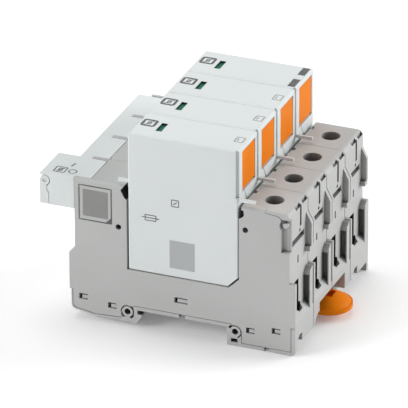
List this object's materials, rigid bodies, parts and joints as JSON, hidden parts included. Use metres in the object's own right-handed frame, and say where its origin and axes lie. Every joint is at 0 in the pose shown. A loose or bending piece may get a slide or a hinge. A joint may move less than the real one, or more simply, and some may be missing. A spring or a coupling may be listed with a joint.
{
  "type": "din rail surge arrester",
  "caption": "Stepped grey rail-mounted base with white pull-out surge plugs side by side, orange ejector levers, screw terminals at one end, a rail latch and a small signal terminal box.",
  "frame": {"origin": "middle of the mounting rail, level with the upper side of its flanges, halfway along the row of poles", "axes": "+X across the rail towards the screw terminals and the latch, +Y along the rail from the first pole to the last, +Z away from the rail"},
  "size_m": [0.1093, 0.077, 0.0797],
  "materials": {
    "grey_plastic": "fine matt moulding",
    "white_plastic": "fine matt moulding",
    "orange_plastic": "smooth satin moulding",
    "copper": "bright rolled strip",
    "zinc_steel": "zinc plated",
    "flag_green": "smooth",
    "blue_coating": "dip coating"
  },
  "bodies": {
    "base": {"pole_housing_1": "grey_plastic", "pole_housing_2": "grey_plastic", "pole_housing_3": "grey_plastic", "pole_housing_4": "grey_plastic", "front_cover": "grey_plastic", "contact_bar_1": "copper", "contact_bar_2": "copper", "contact_bar_3": "copper", "contact_bar_4": "copper", "bridge_bar": "copper", "signal_module": "white_plastic", "signal_terminals": "zinc_steel", "flap_pin": "zinc_steel"},
    "plug_1": {"plug_housing_1": "white_plastic", "plug_cover_1": "white_plastic", "plug_blades_1": "copper", "varistor_1": "blue_coating"},
    "flag_1": {"status_flag_1": "flag_green"},
    "lever_1": {"ejector_lever_1": "orange_plastic"},
    "screw_1": {"terminal_screw_1": "zinc_steel"},
    "cage_1": {"clamp_cage_1": "zinc_steel"},
    "plug_2": {"plug_housing_2": "white_plastic", "plug_cover_2": "white_plastic", "plug_blades_2": "copper", "varistor_2": "blue_coating"},
    "flag_2": {"status_flag_2": "flag_green"},
    "lever_2": {"ejector_lever_2": "orange_plastic"},
    "screw_2": {"terminal_screw_2": "zinc_steel"},
    "cage_2": {"clamp_cage_2": "zinc_steel"},
    "plug_3": {"plug_housing_3": "white_plastic", "plug_cover_3": "white_plastic", "plug_blades_3": "copper", "varistor_3": "blue_coating"},
    "flag_3": {"status_flag_3": "flag_green"},
    "lever_3": {"ejector_lever_3": "orange_plastic"},
    "screw_3": {"terminal_screw_3": "zinc_steel"},
    "cage_3": {"clamp_cage_3": "zinc_steel"},
    "plug_4": {"plug_housing_4": "white_plastic", "plug_cover_4": "white_plastic", "plug_blades_4": "copper", "varistor_4": "blue_coating"},
    "flag_4": {"status_flag_4": "flag_green"},
    "lever_4": {"ejector_lever_4": "orange_plastic"},
    "screw_4": {"terminal_screw_4": "zinc_steel"},
    "cage_4": {"clamp_cage_4": "zinc_steel"},
    "latch": {"rail_latch": "orange_plastic"},
    "flap": {"terminal_flap": "white_plastic"}
  },
  "joints": [
    {"name": "plug_1_pull", "type": "slide", "parent": "base", "child": "plug_1", "axis": [0, 0, 1], "range_m": [0, 0.055]},
    {"name": "lever_1_swing", "type": "hinge", "parent": "plug_1", "child": "lever_1", "pos_m": [0.0211, -0.02745, 0.0559], "axis": [0, 1, 0], "range_deg": [0, 35]},
    {"name": "flag_1_slide", "type": "slide", "parent": "plug_1", "child": "flag_1", "axis": [1, 0, 0], "range_m": [0, 0.0034]},
    {"name": "screw_1_turn", "type": "hinge", "parent": "base", "child": "screw_1", "pos_m": [0.033, -0.02895, 0.0351], "axis": [0, 0, 1], "range_deg": [-2882, 1]},
    {"name": "cage_1_lift", "type": "slide", "parent": "base", "child": "cage_1", "axis": [0, 0, 1], "range_m": [0, 0.008]},
    {"name": "plug_2_pull", "type": "slide", "parent": "base", "child": "plug_2", "axis": [0, 0, 1], "range_m": [0, 0.055]},
    {"name": "lever_2_swing", "type": "hinge", "parent": "plug_2", "child": "lever_2", "pos_m": [0.0211, -0.00815, 0.0559], "axis": [0, 1, 0], "range_deg": [0, 35]},
    {"name": "flag_2_slide", "type": "slide", "parent": "plug_2", "child": "flag_2", "axis": [1, 0, 0], "range_m": [0, 0.0034]},
    {"name": "screw_2_turn", "type": "hinge", "parent": "base", "child": "screw_2", "pos_m": [0.033, -0.00965, 0.0351], "axis": [0, 0, 1], "range_deg": [-2882, 1]},
    {"name": "cage_2_lift", "type": "slide", "parent": "base", "child": "cage_2", "axis": [0, 0, 1], "range_m": [0, 0.008]},
    {"name": "plug_3_pull", "type": "slide", "parent": "base", "child": "plug_3", "axis": [0, 0, 1], "range_m": [0, 0.055]},
    {"name": "lever_3_swing", "type": "hinge", "parent": "plug_3", "child": "lever_3", "pos_m": [0.0211, 0.01115, 0.0559], "axis": [0, 1, 0], "range_deg": [0, 35]},
    {"name": "flag_3_slide", "type": "slide", "parent": "plug_3", "child": "flag_3", "axis": [1, 0, 0], "range_m": [0, 0.0034]},
    {"name": "screw_3_turn", "type": "hinge", "parent": "base", "child": "screw_3", "pos_m": [0.033, 0.00965, 0.0351], "axis": [0, 0, 1], "range_deg": [-2882, 1]},
    {"name": "cage_3_lift", "type": "slide", "parent": "base", "child": "cage_3", "axis": [0, 0, 1], "range_m": [0, 0.008]},
    {"name": "plug_4_pull", "type": "slide", "parent": "base", "child": "plug_4", "axis": [0, 0, 1], "range_m": [0, 0.055]},
    {"name": "lever_4_swing", "type": "hinge", "parent": "plug_4", "child": "lever_4", "pos_m": [0.0211, 0.03045, 0.0559], "axis": [0, 1, 0], "range_deg": [0, 35]},
    {"name": "flag_4_slide", "type": "slide", "parent": "plug_4", "child": "flag_4", "axis": [1, 0, 0], "range_m": [0, 0.0034]},
    {"name": "screw_4_turn", "type": "hinge", "parent": "base", "child": "screw_4", "pos_m": [0.033, 0.02895, 0.0351], "axis": [0, 0, 1], "range_deg": [-2882, 1]},
    {"name": "cage_4_lift", "type": "slide", "parent": "base", "child": "cage_4", "axis": [0, 0, 1], "range_m": [0, 0.008]},
    {"name": "latch_pull", "type": "slide", "parent": "base", "child": "latch", "axis": [1, 0, 0], "range_m": [0, 0.004], "stiffness_N_per_m": 800, "springref_m": -0.003},
    {"name": "flap_swing", "type": "hinge", "parent": "base", "child": "flap", "pos_m": [-0.0548, -0.0296, 0.0476], "axis": [0, 1, 0], "range_deg": [0, 90]}
  ],
  "couplings": [
    {"joint": "screw_1_turn", "follows": "cage_1_lift", "rad_per_m": -6283.2},
    {"joint": "screw_2_turn", "follows": "cage_2_lift", "rad_per_m": -6283.2},
    {"joint": "screw_3_turn", "follows": "cage_3_lift", "rad_per_m": -6283.2},
    {"joint": "screw_4_turn", "follows": "cage_4_lift", "rad_per_m": -6283.2}
  ]
}
